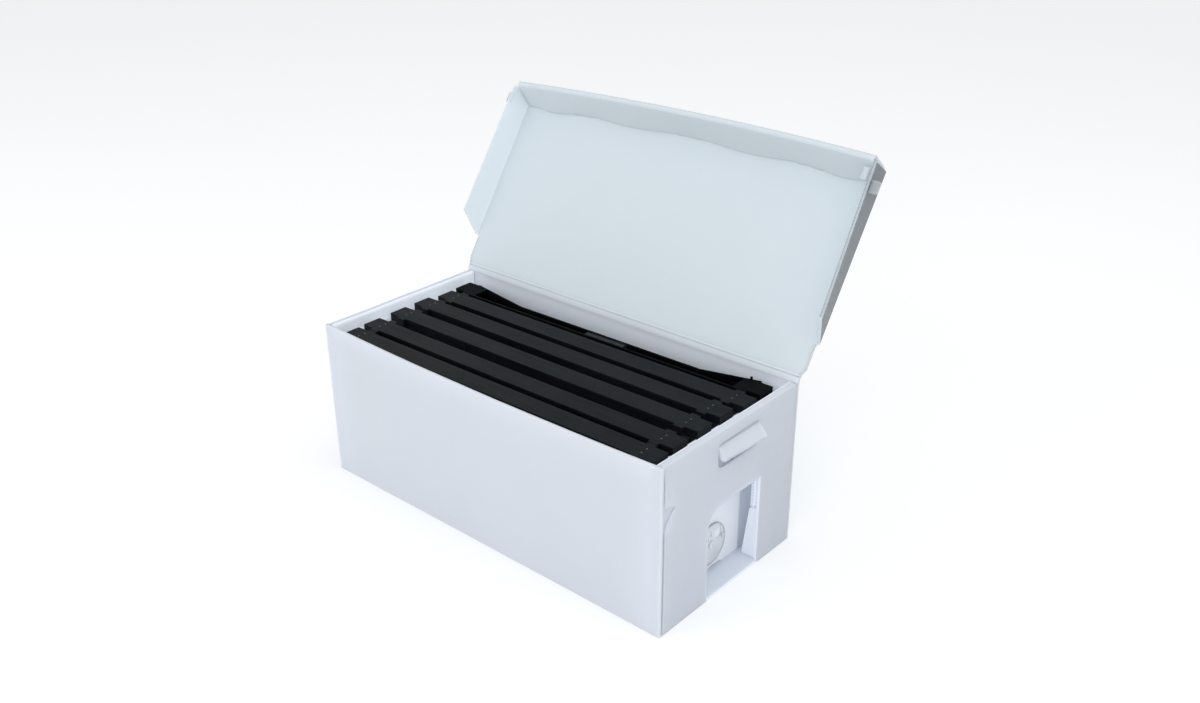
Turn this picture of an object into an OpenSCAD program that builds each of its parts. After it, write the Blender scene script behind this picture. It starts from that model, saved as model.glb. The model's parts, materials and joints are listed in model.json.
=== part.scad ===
// Folding nucleus hive box of twin-wall plastic board, standing open with its five frames and a frame feeder.
// Origin: centre of the base. +X points to the entrance end, +Y to the hinge side, +Z up.

/* [Box] */
// Length of the box outside, end to end
box_l = 530; // [529:0.5:536]
// Width of the box outside, front to hinge side
box_w = 245; // [244.5:0.5:250]
// Height of the box to its rim
box_h = 205; // [204.5:0.5:212]
// Thickness of the twin-wall board
board = 3.5; // [3:0.1:3.6]
// Width of the doubled rim over each end wall
rim_w = 12; // [11.5:0.5:14]
// Outer face of each end wall to the outer face of the inner end wall
porch_depth = 30; // [28:0.5:30.5]
// How far each corner flap tucks in behind the end wall
tuck_l = 62.5; // [40:0.5:62.5]

/* [Entrance end] */
// Width of the porch window
window_w = 96; // [80:1:97]
// Top of the porch window above the base
window_top = 114.5; // [90:0.5:122]
// Shift of the window and the hand slot towards the hinge side
window_shift = 7; // [0:1:8]
// How far each side flap of the window folds in
porch_flap_l = 17; // [8:1:20]
// Height of each side flap of the window
porch_flap_h = 66; // [30:1:70]

/* [Entrance disc] */
// Diameter of the turning entrance disc
disc_d = 53; // [46:1:54]
// Thickness of the disc
disc_t = 1.6; // [1:0.1:2]
// Height of the disc's pivot above the base
disc_z = 38; // [34:1:60]
// Diameter of the open bee hole in the disc
bee_hole_d = 14; // [10:1:15]

/* [Hand slots] */
// Length of each hand slot
slot_l = 74; // [60:1:80]
// Height of each hand slot
slot_h = 30; // [24:1:32]
// Length of the grip flap that hangs from the slot's upper edge
grip_l = 15; // [10:0.5:15]
// How far the grip flap stands out from the end wall, in degrees
grip_angle = 24; // [0:1:24]

/* [Lid] */
// How far the lid stands open, in degrees from closed
lid_angle = 124; // [0:1:230]
// Depth of the ears and the front apron below the lid panel
skirt_h = 31.5; // [25:0.5:32]
// Outward splay of the ear at the entrance end, in degrees
ear_splay_entrance = 13; // [13:1:20]
// Outward splay of the ear at the far end, in degrees
ear_splay_far = 19; // [13:1:22]
// Outward splay of the front apron, in degrees
apron_splay = 11; // [4:1:14]

/* [Frames] */
// Height of each frame
frame_h = 184; // [150:1:184]
// Length of a frame's top bar over both lugs
top_bar_l = 482; // [478:1:482]
// Width of a top bar
top_bar_w = 26; // [22:1:28]
// How far the frames stand askew in the box, in degrees
frame_yaw = 1; // [0:0.1:1]
// Thickness of a lug
lug_t = 10; // [8:0.5:11]
// Width over a frame's end bars
end_bar_w = 34; // [32:0.5:34.5]
// Width of the feeder at its ends
feeder_w = 33.5; // [30:0.5:34]

/* [Hidden] */
$fn = 64;

gap = 0.3;                  // clearance between pieces that move past each other
half_l = box_l / 2;
half_w = box_w / 2;
inner_half_w = half_w - board;
end_panel_half_w = inner_half_w - 0.2;

// Frame positions across the box, and how far each has slid along it
frame_y = [-97.7, -62.6, -18.3, 22.2, 58];
frame_dx = [-1, -3.3, -5, -5.8, 0];
feeder_front = 75.9;
feeder_dx = -2;
feeder_wall = 2.5;
feeder_waist = 14.5;        // width of the feeder along its pinched middle
feeder_pinch = [-132, 152]; // where that middle ends
frame_drop = 9;             // top bars below the rim
frame_top = box_h - frame_drop;
end_bar_x = 224;            // outer face of an end bar
end_bar_t = 12;
shoulder_h = 62;            // full-width upper stretch of an end bar
waist_w = 25;               // width of an end bar below its shoulders
top_bar_t = 14;
bottom_bar_t = 9;
foundation_t = 2.2;
pin_d = 1.8;

// Heights of the end structure
rest_top = frame_top - lug_t - gap;
rest_under = rest_top - board;
inner_wall_x = half_l - porch_depth;       // outer face of the inner end wall
rim_x = half_l - rim_w;                    // inner face of the rim return

// Porch window and hand slot, in the end wall's own plane
window_front = window_shift - window_w / 2;
window_back = window_shift + window_w / 2;
window_chamfer = [17, 22];
notch_low = 129;
notch_tip = [19, 151];
notch_high = 159;
slot_y = window_shift + 2;
slot_top = 189;
grip_pivot_z = slot_top - 2.4;
grip_pivot_x = half_l - board / 2;
bead_r = 1.2;

// Disc and its holes
disc_y = window_shift - 1.5;
rivet_r = 3;
hole_angle = -54;           // of the hole in the inner wall, about the pivot
disc_turn = 36;             // at rest the blank quarter covers that hole
hole_ring_r = 15.5;
pip_angle = -28;            // finger pip, from the open hole
pip_ring_r = 21.4;
pip_r = 3;

// Lid hinge line at the outer corner of the back wall, and the closed lid
hinge_y = half_w - 0.5;
crease_r = 0.9;
lid_under = box_h + gap;
hinge_z = lid_under + board - 0.8;
lid_half_l = half_l + 0.4 + board;
lid_back_s = 2.4;
lid_front_y = -half_w - 9.5;
apron_y = lid_front_y + board;
return_y = -half_w - 0.6;
ear_start_s = 45;
ear_full_s = 66;
hinge_chamfer = [4.4, 11];
tab_x = [-169, 5, 180];
tab_w = 34;
corner_tab_y = [-120, -104.5];
corner_tab_depth = 24;
corner_tab_out = 21;

white = [0.86, 0.89, 0.93];
black = [0.13, 0.14, 0.15];

// A box given by its lowest and highest corners
module slab(lo, hi) {
    translate(lo) cube(hi - lo);
}

// Children drawn at the entrance end, or mirrored to the far end
module at_end(far = false) {
    mirror([far ? 1 : 0, 0, 0]) children();
}

// A flat panel of board standing in an end wall's plane: the outline is drawn in (y, z)
module end_sheet(x) {
    translate([x, 0, 0]) rotate([90, 0, 90]) linear_extrude(board) children();
}

module floor_panel() {
    color(white) slab([-half_l + board, -inner_half_w, 0], [half_l - board, inner_half_w, board]);
}

module front_wall() {
    color(white) slab([-half_l, -half_w, 0], [half_l, -inner_half_w, box_h]);
}

module back_wall() {
    color(white) slab([-half_l, inner_half_w, 0], [half_l, half_w, box_h]);
}

// Hinge crease: a round bead on the hinge line, on a thin web that rises from the back wall
module lid_crease() {
    color(white) union() {
        translate([-half_l, hinge_y, hinge_z]) rotate([0, 90, 0]) cylinder(r = crease_r, h = box_l);
        slab([-half_l, hinge_y - crease_r / 2, box_h], [half_l, half_w, hinge_z]);
    }
}

module end_wall_outline() {
    difference() {
        translate([-end_panel_half_w, 0]) square([2 * end_panel_half_w, box_h - board]);
        polygon([[-end_panel_half_w - 1, notch_low - 1.5], [-end_panel_half_w, notch_low],
            [-end_panel_half_w + notch_tip[0], notch_tip[1]], [-end_panel_half_w - 1, notch_high]]);
        hand_slot();
    }
}

// Hand slot with its two lower corners rounded
module hand_slot() {
    corner_r = 6;
    translate([slot_y - slot_l / 2, slot_top - slot_h + corner_r]) square([slot_l, slot_h - corner_r]);
    translate([slot_y - slot_l / 2 + corner_r, slot_top - slot_h]) square([slot_l - 2 * corner_r, slot_h]);
    for (k = [-1, 1])
        translate([slot_y + k * (slot_l / 2 - corner_r), slot_top - slot_h + corner_r]) circle(corner_r);
}

module window_outline() {
    polygon([[window_front, board], [window_front, window_top - window_chamfer[1]],
        [window_front + window_chamfer[0], window_top], [window_back, window_top], [window_back, board]]);
}

module end_wall(far) {
    color(white) at_end(far) end_sheet(half_l - board) difference() {
        end_wall_outline();
        if (!far) window_outline();
    }
}

module rim_band(far) {
    color(white) at_end(far)
        slab([rim_x, -end_panel_half_w, box_h - board], [half_l, end_panel_half_w, box_h]);
}

module rim_return(far) {
    color(white) at_end(far)
        slab([rim_x, -end_panel_half_w, rest_top], [rim_x + board, end_panel_half_w, box_h - board]);
}

module frame_rest(far) {
    color(white) at_end(far)
        slab([inner_wall_x - board, -end_panel_half_w, rest_under], [rim_x + board, end_panel_half_w, rest_top]);
}

module inner_wall(far) {
    color(white) at_end(far) end_sheet(inner_wall_x - board) difference() {
        translate([-end_panel_half_w, board]) square([2 * end_panel_half_w, rest_under - board]);
        if (!far) {
            translate([disc_y, disc_z]) circle(rivet_r);
            translate([disc_y, disc_z]) rotate(hole_angle) translate([hole_ring_r, 0]) circle(d = bee_hole_d + 3);
        }
    }
}

// Corner flap, cut back below where the window's side flap folds in
module tuck(far, back) {
    low_l = back ? tuck_l - 4.5 : tuck_l;
    color(white) at_end(far) mirror([0, back ? 0 : 1, 0]) end_sheet(half_l - rim_w + board) union() {
        translate([inner_half_w - low_l, board + 0.5]) square([low_l, porch_flap_h + 3]);
        translate([inner_half_w - tuck_l, board + 0.5 + porch_flap_h + 3])
            square([tuck_l, box_h - 2 * board - 1 - porch_flap_h - 3]);
    }
}

// Side flap of the window, folded in at a right angle
module porch_flap(back) {
    y = back ? window_back : window_front - board;
    color(white) slab([half_l - board - porch_flap_l, y, board + 1],
        [half_l - board, y + board, board + 1 + porch_flap_h]);
}

// Grip flap, tilted out about its crease
module grip_flap(far) {
    color(white) at_end(far) translate([grip_pivot_x, slot_y, grip_pivot_z]) rotate([0, -grip_angle, 0]) union() {
        rotate([90, 0, 0]) cylinder(r = bead_r, h = slot_l - 2, center = true);
        grip_leaf();
    }
}

module grip_leaf() {
    corner_r = 5;
    half = slot_l / 2 - 1;
    translate([-board / 2, 0, 0]) rotate([90, 0, 90]) linear_extrude(board) union() {
        translate([-half, corner_r - grip_l]) square([2 * half, grip_l - corner_r]);
        translate([corner_r - half, -grip_l]) square([2 * (half - corner_r), grip_l]);
        for (k = [-1, 1])
            translate([k * (half - corner_r), corner_r - grip_l]) circle(corner_r);
    }
}

// Push rivet that the disc turns on
module disc_rivet() {
    color(white) translate([inner_wall_x - board - 1.2, disc_y, disc_z]) rotate([0, 90, 0]) union() {
        cylinder(r = rivet_r + 1.6, h = 1.2);
        cylinder(r = rivet_r, h = board + disc_t + 1.2 + 2 * gap);
        translate([0, 0, board + disc_t + 1.2 + 2 * gap]) cylinder(r = rivet_r + 1.8, h = 1.4);
    }
}

// Four-way disc: an open hole, queen-excluder slots, small vent holes and a blank quarter with a stop pip
module entrance_disc() {
    vent_d = 2.6;
    slot_w = 4.3;
    color([0.93, 0.93, 0.9]) translate([inner_wall_x + gap, disc_y, disc_z]) rotate([90, 0, 90]) rotate(disc_turn)
        union() {
            linear_extrude(disc_t) difference() {
                circle(disc_d / 2, $fn = 96);
                circle(rivet_r + 0.05);
                translate([hole_ring_r, 0]) circle(d = bee_hole_d);
                for (k = [-1, 0, 1])
                    translate([k * (slot_w + 2.4) - slot_w / 2, hole_ring_r - 6]) square([slot_w, 12]);
                for (k = [0:6])
                    translate([-hole_ring_r, 0] + (k == 0 ? [0, 0] : 4.8 * [cos(60 * k), sin(60 * k)]))
                        circle(d = vent_d, $fn = 24);
            }
            rotate(pip_angle) translate([pip_ring_r, 0, disc_t]) cylinder(r = pip_r, h = 1.6);
        }
}

// Children are drawn for the closed lid, and swung open about the hinge line
module lid_swing() {
    translate([0, hinge_y, hinge_z]) rotate([-lid_angle, 0, 0]) translate([0, -hinge_y, -hinge_z]) children();
}

module lid_panel() {
    back = hinge_y - lid_back_s;
    x = lid_half_l;
    color(white) lid_swing() difference() {
        translate([0, 0, lid_under]) linear_extrude(board)
            polygon([[-x, lid_front_y], [x, lid_front_y], [x, back - hinge_chamfer[1]],
                [x - hinge_chamfer[0], back], [hinge_chamfer[0] - x, back], [-x, back - hinge_chamfer[1]]]);
        for (t = tab_x)
            slab([t - tab_w / 2 - 0.3, return_y - board - 0.2, lid_under - 1],
                [t + tab_w / 2 + 0.3, return_y + 0.2, lid_under + board + 1]);
    }
}

// Ear: a side skirt folded down from the lid, splayed outward, with a slot for the apron's corner tab
module lid_ear(far) {
    splay = far ? ear_splay_far : ear_splay_entrance;
    first = board * sin(splay) + 0.2;
    ramp = (ear_full_s - ear_start_s) / skirt_h;
    color(white) lid_swing() at_end(far) difference() {
        translate([half_l + 0.4, 0, lid_under]) rotate([0, -splay, 0]) rotate([90, 0, 90]) linear_extrude(board)
            polygon([[hinge_y - ear_start_s - ramp * first, -first], [hinge_y - ear_full_s, -skirt_h],
                [apron_y + 0.3, -skirt_h], [apron_y + 0.3, -first]]);
        slab([half_l, corner_tab_y[0] - 0.3, lid_under - corner_tab_depth - board - 0.3],
            [half_l + 30, corner_tab_y[1] + 0.3, lid_under - corner_tab_depth + 0.3]);
    }
}

// Outer leaf of the front apron
module apron_outer() {
    first = board * sin(apron_splay) + 0.2;
    depth = (skirt_h - board) / cos(apron_splay) - board * sin(apron_splay) - 0.2;
    color(white) lid_swing() translate([0, apron_y, lid_under]) rotate([-apron_splay, 0, 0])
        slab([-lid_half_l + 0.6, -board, -depth], [lid_half_l - 0.6, 0, -first]);
}

// Folded edge between the apron's outer leaf and its return
module apron_band() {
    out = apron_y - (skirt_h - board) * tan(apron_splay) - board;
    color(white) lid_swing() slab([-lid_half_l + 0.6, out, lid_under - skirt_h],
        [lid_half_l - 0.6, return_y, lid_under - skirt_h + board]);
}

// Inner leaf of the apron, with three tabs that lock into the lid panel
module apron_return() {
    color(white) lid_swing() union() {
        slab([-half_l + 1, return_y - board, lid_under - skirt_h + board], [half_l - 1, return_y, lid_under - 0.4]);
        for (t = tab_x)
            slab([t - tab_w / 2, return_y - board, lid_under - 0.5], [t + tab_w / 2, return_y, lid_under + board]);
    }
}

// Corner tabs that lock the ears to the apron
module apron_tabs() {
    low = lid_under - corner_tab_depth - board;
    color(white) lid_swing() for (far = [false, true]) at_end(far)
        slab([half_l + 1.2, corner_tab_y[0], low], [half_l + corner_tab_out, corner_tab_y[1], low + board]);
}

module frame_place(i) {
    translate([frame_dx[i - 1], frame_y[i - 1], frame_top]) rotate(frame_yaw) children();
}

module top_bar(i) {
    color(black) frame_place(i) union() {
        slab([-top_bar_l / 2, 0.5 - top_bar_w / 2, -lug_t], [top_bar_l / 2, top_bar_w / 2 - 0.5, 0]);
        slab([-end_bar_x, -top_bar_w / 2, -top_bar_t], [end_bar_x, top_bar_w / 2, 0]);
    }
}

// Both end bars: full width at the shoulders, narrower below, notched for the top bar
module end_bars(i) {
    color(black) frame_place(i) for (k = [0, 1]) mirror([k, 0, 0]) difference() {
        union() {
            slab([end_bar_x - end_bar_t, -end_bar_w / 2, -shoulder_h], [end_bar_x, end_bar_w / 2, 0]);
            slab([end_bar_x - end_bar_t, -waist_w / 2, -frame_h], [end_bar_x, waist_w / 2, -shoulder_h]);
        }
        slab([end_bar_x - end_bar_t - 1, -top_bar_w / 2, -top_bar_t], [end_bar_x + 1, top_bar_w / 2, 1]);
    }
}

module bottom_bar(i) {
    inner = end_bar_x - end_bar_t;
    color(black) frame_place(i)
        slab([-inner, -waist_w / 2, -frame_h], [inner, waist_w / 2, bottom_bar_t - frame_h]);
}

module foundation(i) {
    inner = end_bar_x - end_bar_t;
    color([0.1, 0.1, 0.11]) frame_place(i)
        slab([-inner, -foundation_t / 2, bottom_bar_t - frame_h], [inner, foundation_t / 2, -top_bar_t]);
}

// Pins through the top bar into the end bars, their heads just proud
module pins(i) {
    head = 0.4;
    color("silver") frame_place(i) for (k = [-1, 1]) for (m = [-1, 1])
        translate([k * (end_bar_x - 4), m * 4.5, 0]) cylinder(d = pin_d, h = head, $fn = 24);
}

module feeder_place() {
    translate([feeder_dx, feeder_front, frame_top]) rotate(frame_yaw) children();
}

// Outline of the feeder's trough, pinched in along its middle: inset is the wall thickness left outside it
module trough_outline(inset) {
    half = end_bar_x - inset;
    polygon([[-half, inset], [half, inset], [half, feeder_w - inset], [feeder_pinch[1], feeder_waist - inset],
        [feeder_pinch[0], feeder_waist - inset], [-half, feeder_w - 2 - inset]]);
}

// Frame feeder: an open trough with a plate, a lug and a latch nub at its ends
module feeder_body() {
    plate_t = 4;
    plate_l = 19;
    lug_y = [3.5, 32];
    nub = [213, 29];
    color(black) feeder_place() union() {
        difference() {
            translate([0, 0, -frame_h]) linear_extrude(frame_h) trough_outline(0);
            translate([0, 0, feeder_wall - frame_h]) linear_extrude(frame_h) trough_outline(feeder_wall);
        }
        intersection() {
            translate([0, 0, -plate_t]) linear_extrude(plate_t) trough_outline(feeder_wall / 2);
            union() for (k = [0, 1]) mirror([k, 0, 0])
                slab([end_bar_x - plate_l, 0, -plate_t], [end_bar_x, feeder_w, 0]);
        }
        for (k = [0, 1]) mirror([k, 0, 0])
            slab([end_bar_x - feeder_wall, lug_y[0], -lug_t], [top_bar_l / 2, lug_y[1] - 2, 0]);
        translate([nub[0], nub[1], -1]) cylinder(d = 3, h = 4.5, $fn = 32);
    }
}

// Brace across the middle of the trough, a little below its rim
module feeder_brace() {
    brace_x = [-15, 45];
    color(black) feeder_place() intersection() {
        slab([brace_x[0], 0, -9], [brace_x[1], feeder_w, -3]);
        translate([0, 0, -20]) linear_extrude(20) trough_outline(feeder_wall);
    }
}

floor_panel();
front_wall();
back_wall();
lid_crease();
for (far = [false, true]) {
    end = far ? "far" : "entrance";
    end_wall(far);
    rim_band(far);
    rim_return(far);
    frame_rest(far);
    inner_wall(far);
    tuck(far, false);
    tuck(far, true);
    grip_flap(far);
    lid_ear(far);
}
porch_flap(false);  // porch_flap_front
porch_flap(true);  // porch_flap_back
disc_rivet();
entrance_disc();
lid_panel();
apron_outer();
apron_band();
apron_return();
apron_tabs();
for (i = [1:5]) {
    top_bar(i);
    end_bars(i);
    bottom_bar(i);
    foundation(i);
    pins(i);
}
feeder_body();
feeder_brace();
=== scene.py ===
"""Folding nucleus hive box of twin-wall plastic board: the looks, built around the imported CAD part."""

import json
import math

import bmesh
import bpy
from mathutils import Matrix, Vector, noise
from mathutils.geometry import tessellate_polygon


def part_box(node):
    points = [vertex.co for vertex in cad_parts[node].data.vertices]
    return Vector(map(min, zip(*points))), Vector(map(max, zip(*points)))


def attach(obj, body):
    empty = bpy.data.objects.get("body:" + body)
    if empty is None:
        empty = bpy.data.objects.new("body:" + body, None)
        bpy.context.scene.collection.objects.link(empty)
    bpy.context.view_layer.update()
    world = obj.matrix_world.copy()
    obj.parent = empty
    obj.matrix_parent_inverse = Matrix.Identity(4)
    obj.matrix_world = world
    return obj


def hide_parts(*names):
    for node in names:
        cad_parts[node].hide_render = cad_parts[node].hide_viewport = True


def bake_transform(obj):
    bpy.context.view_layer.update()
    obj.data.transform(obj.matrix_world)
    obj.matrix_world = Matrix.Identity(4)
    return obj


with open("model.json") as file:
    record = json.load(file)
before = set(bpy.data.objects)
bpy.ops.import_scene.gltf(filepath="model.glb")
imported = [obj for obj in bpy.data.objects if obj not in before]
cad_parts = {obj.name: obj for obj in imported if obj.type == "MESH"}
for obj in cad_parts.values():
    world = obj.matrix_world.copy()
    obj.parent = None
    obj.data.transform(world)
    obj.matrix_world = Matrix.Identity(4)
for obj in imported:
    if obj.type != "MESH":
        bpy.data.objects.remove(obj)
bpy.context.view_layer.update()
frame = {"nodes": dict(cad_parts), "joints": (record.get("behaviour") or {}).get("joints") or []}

MM = 0.001
PITCH = 4.0  # between the ribs of the twin-wall board, in mm
SKIN = 0.35  # each of its two skins
MOUTH = 1.8  # how deep the cut flutes are modelled


def box_mm(node):
    lo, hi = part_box(node)
    return lo / MM, hi / MM


JOINT = {j["name"]: j for j in frame["joints"]}

# Main sizes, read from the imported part, in mm
FRONT_LO, FRONT_HI = box_mm("front_wall")
HALF_L, HALF_W, BOX_H = FRONT_HI.x, -FRONT_LO.y, FRONT_HI.z
BOARD = FRONT_HI.y - FRONT_LO.y
INNER_W = HALF_W - BOARD
END_W = box_mm("rim_band_entrance")[1].y
RIM_X = box_mm("rim_band_entrance")[0].x
REST_TOP = box_mm("frame_rest_entrance")[1].z
INNER_X = box_mm("inner_wall_entrance")[1].x
TUCK_X = box_mm("tuck_front_entrance")[0].x
HINGE = Vector(JOINT["lid_hinge"]["pos_m"]) / MM
LID_ANGLE = -math.radians(JOINT["lid_hinge"]["range_deg"][0])
GRIP_PIVOT = Vector(JOINT["grip_entrance_fold"]["pos_m"]) / MM
DISC_PIVOT = Vector(JOINT["disc_turn"]["pos_m"]) / MM
FRAME_TOP = box_mm("top_bar_1")[1].z
YAW = math.radians(1.0)  # the frames lie a little askew in the box


# ---------------------------------------------------------------- materials


class Nodes:
    """Short calls for building one material's node tree."""

    def __init__(self, name):
        self.material = bpy.data.materials.new(name)
        self.material.use_nodes = True
        self.tree = self.material.node_tree
        self.shader = self.tree.nodes["Principled BSDF"]

    def add(self, kind, **inputs):
        node = self.tree.nodes.new(kind)
        for key, value in inputs.items():
            if hasattr(node, key):
                setattr(node, key, value)
            else:
                self.wire(value, node.inputs[key.replace("_", " ")])
        return node

    def wire(self, value, socket):
        if isinstance(value, bpy.types.NodeSocket):
            self.tree.links.new(value, socket)
        else:
            socket.default_value = value

    def math(self, operation, *values):
        node = self.tree.nodes.new("ShaderNodeMath")
        node.operation = operation
        for value, socket in zip(values, node.inputs):
            self.wire(value, socket)
        return node.outputs[0]

    def noise(self, vector, scale, detail=3.0, rough=0.55):
        node = self.tree.nodes.new("ShaderNodeTexNoise")
        for value, key in ((vector, "Vector"), (scale, "Scale"), (detail, "Detail"), (rough, "Roughness")):
            self.wire(value, node.inputs[key])
        return node.outputs["Fac"]

    def remap(self, value, low, high, to_low=0.0, to_high=1.0):
        node = self.tree.nodes.new("ShaderNodeMapRange")
        keys = ("Value", "From Min", "From Max", "To Min", "To Max")
        for v, key in zip((value, low, high, to_low, to_high), keys):
            self.wire(v, node.inputs[key])
        return node.outputs[0]

    def stretch(self, vector, scale):
        node = self.tree.nodes.new("ShaderNodeMapping")
        self.wire(vector, node.inputs["Vector"])
        node.inputs["Scale"].default_value = scale
        return node.outputs[0]

    def mix(self, factor, a, b):
        node = self.tree.nodes.new("ShaderNodeMix")
        node.data_type = "RGBA"
        self.wire(factor, node.inputs["Factor"])
        self.wire((*a, 1.0) if isinstance(a, tuple) else a, node.inputs["A"])
        self.wire((*b, 1.0) if isinstance(b, tuple) else b, node.inputs["B"])
        return node.outputs["Result"]

    def bump(self, height, strength, distance, below=None):
        node = self.tree.nodes.new("ShaderNodeBump")
        node.inputs["Strength"].default_value = strength
        node.inputs["Distance"].default_value = distance
        self.wire(height, node.inputs["Height"])
        if below is not None:
            self.wire(below, node.inputs["Normal"])
        return node.outputs[0]

    def place(self):
        return self.tree.nodes.new("ShaderNodeTexCoord").outputs["Object"]

    def stored(self, name, output="Fac"):
        """A value that the mesh carries under this name."""
        node = self.tree.nodes.new("ShaderNodeAttribute")
        node.attribute_name = name
        return node.outputs[output]

    def bleed(self, weight, depth):
        """Light that spreads under the surface."""
        self.shader.inputs["Subsurface Weight"].default_value = weight
        self.shader.inputs["Subsurface Radius"].default_value = (1.0, 1.0, 1.0)
        self.shader.inputs["Subsurface Scale"].default_value = depth


SPECK = (0.3, 0.31, 0.33)
PAINTED_SHADE_GREY = (0.17, 0.19, 0.205)  # the grey that a face's painted shade leads towards


def board_material(name, base, shade, speckle, glow=0.6):
    """White twin-wall polypropylene: ribs under the skin, grain, scuffs along the flutes, a few specks, with
    painted shade and a painted glow taken from numbers that the mesh carries.
    """
    n = Nodes(name)
    local = n.stored("board", "Vector")
    split = n.add("ShaderNodeSeparateXYZ", Vector=local)
    across = n.math("MULTIPLY", split.outputs["X"], 2 * math.pi / (PITCH * MM))
    rib = n.math("POWER", n.remap(n.math("COSINE", across), -1.0, 1.0), 5.0)
    cloud = n.noise(local, 9.0, 2.0)
    scuff = n.noise(n.stretch(local, (420.0, 18.0, 60.0)), 1.0, 4.0, 0.6)
    grain = n.noise(local, 1500.0, 2.0)
    colour = n.mix(n.math("MULTIPLY", rib, 0.22), base, shade)
    colour = n.mix(n.remap(cloud, 0.35, 0.7, 0.0, 0.35), colour, shade)
    dots = n.add("ShaderNodeTexVoronoi", Vector=local, Scale=30.0)
    near = n.remap(dots.outputs["Distance"], 0.02, 0.035, 1.0, 0.0)
    rare = n.math("GREATER_THAN", n.noise(local, 23.0, 0.0), speckle)
    colour = n.mix(n.math("MULTIPLY", n.math("MULTIPLY", near, rare), 0.6), colour, SPECK)
    # painted shade: the face's shade number greys the colour towards a mid grey
    n.wire(n.mix(n.stored("shade"), colour, PAINTED_SHADE_GREY), n.shader.inputs["Base Color"])
    n.wire(n.remap(scuff, 0.3, 0.75, 0.36, 0.52), n.shader.inputs["Roughness"])
    n.shader.inputs["Specular IOR Level"].default_value = 0.3
    n.bleed(glow, 0.012)
    # painted glow: emission set by the face's inside number, standing in for light that comes through the
    # board
    n.shader.inputs["Emission Color"].default_value = (0.9, 0.95, 1.0, 1.0)
    n.wire(n.stored("inside"), n.shader.inputs["Emission Strength"])
    wave = n.bump(rib, 0.25, 0.00012)
    wave = n.bump(scuff, 0.12, 0.0001, wave)
    n.wire(n.bump(grain, 0.08, 0.00004, wave), n.shader.inputs["Normal"])
    return n.material


def black_material(name, base, dust, rough, shine=0.16, cells=False):
    """Moulded black polypropylene: fine grain, dusty bloom on it, handling scratches along the part."""
    n = Nodes(name)
    place = n.place()
    bloom = n.noise(place, 14.0, 4.0, 0.6)
    streak = n.noise(n.stretch(place, (12.0, 320.0, 320.0)), 1.0, 4.0, 0.65)
    grain = n.noise(place, 1400.0, 2.0)
    dusty = n.math("MULTIPLY", n.remap(bloom, 0.35, 0.75), n.remap(streak, 0.3, 0.8, 0.35, 1.0))
    colour = n.mix(dusty, base, dust)
    n.wire(colour, n.shader.inputs["Base Color"])
    n.wire(n.remap(streak, 0.3, 0.75, rough - 0.07, rough + 0.09), n.shader.inputs["Roughness"])
    n.shader.inputs["Specular IOR Level"].default_value = shine
    normal = n.bump(streak, 0.12, 0.00012)
    if cells:
        normal = n.bump(hex_cells(n, place), 1.0, 0.0009, normal)
    n.wire(n.bump(grain, 0.25, 0.00006, normal), n.shader.inputs["Normal"])
    return n.material


def hex_cells(n, place, size=0.0054):
    """Height of a comb foundation's hexagons on the x-z plane: the nearer of two offset lattices."""
    split = n.add("ShaderNodeSeparateXYZ", Vector=place)
    slope = math.sqrt(3.0)
    whole = 40.0  # cells, to keep the lattice count positive
    found = []
    for shift in (0.0, 0.5):
        away = []
        for axis, width, reach in (("X", size, 2.0), ("Z", size * slope, 2.0 * slope)):
            cell = n.math("ADD", n.math("DIVIDE", split.outputs[axis], width), whole + shift)
            middle = n.math("SUBTRACT", n.math("FRACT", cell), 0.5)
            away.append(n.math("ABSOLUTE", n.math("MULTIPLY", middle, reach)))
        slanted = n.math("ADD", n.math("MULTIPLY", away[0], 0.5), n.math("MULTIPLY", away[1], slope / 2))
        found.append(n.math("MAXIMUM", away[0], slanted))
    return n.remap(n.math("MINIMUM", found[0], found[1]), 0.72, 0.98)


def disc_material():
    n = Nodes("disc_polypropylene")
    place = n.place()
    cloud = n.noise(place, 60.0, 3.0)
    grain = n.noise(place, 1800.0, 2.0)
    colour = n.mix(n.remap(cloud, 0.3, 0.75), (0.70, 0.75, 0.80), (0.78, 0.82, 0.86))
    n.wire(colour, n.shader.inputs["Base Color"])
    n.wire(n.remap(cloud, 0.3, 0.7, 0.3, 0.42), n.shader.inputs["Roughness"])
    n.bleed(0.6, 0.01)
    n.wire(n.bump(grain, 0.15, 0.00005), n.shader.inputs["Normal"])
    return n.material


def rivet_material():
    n = Nodes("rivet_polypropylene")
    place = n.place()
    cloud = n.noise(place, 90.0, 3.0)
    n.wire(n.mix(cloud, (0.7, 0.74, 0.78), (0.82, 0.85, 0.88)), n.shader.inputs["Base Color"])
    n.wire(n.remap(cloud, 0.3, 0.7, 0.22, 0.34), n.shader.inputs["Roughness"])
    n.wire(n.bump(n.noise(place, 1500.0), 0.1, 0.00004), n.shader.inputs["Normal"])
    return n.material


def steel_material():
    n = Nodes("pin_steel_brushed")
    place = n.place()
    brushed = n.noise(n.stretch(place, (300.0, 3000.0, 300.0)), 1.0, 3.0)
    n.wire(n.mix(brushed, (0.16, 0.16, 0.165), (0.3, 0.295, 0.285)), n.shader.inputs["Base Color"])
    n.shader.inputs["Metallic"].default_value = 1.0
    n.wire(n.remap(brushed, 0.3, 0.7, 0.3, 0.5), n.shader.inputs["Roughness"])
    n.wire(n.bump(brushed, 0.2, 0.00003), n.shader.inputs["Normal"])
    return n.material


def floor_material():
    n = Nodes("studio_floor")
    place = n.place()
    cloud = n.noise(place, 1.3, 2.0)
    n.wire(n.mix(cloud, (0.95, 0.95, 0.95), (0.97, 0.97, 0.97)), n.shader.inputs["Base Color"])
    n.shader.inputs["Roughness"].default_value = 0.9
    n.shader.inputs["Specular IOR Level"].default_value = 0.0
    n.shader.inputs["Emission Color"].default_value = (1.0, 1.0, 1.0, 1.0)
    n.shader.inputs["Emission Strength"].default_value = 0.16
    return n.material


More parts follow.
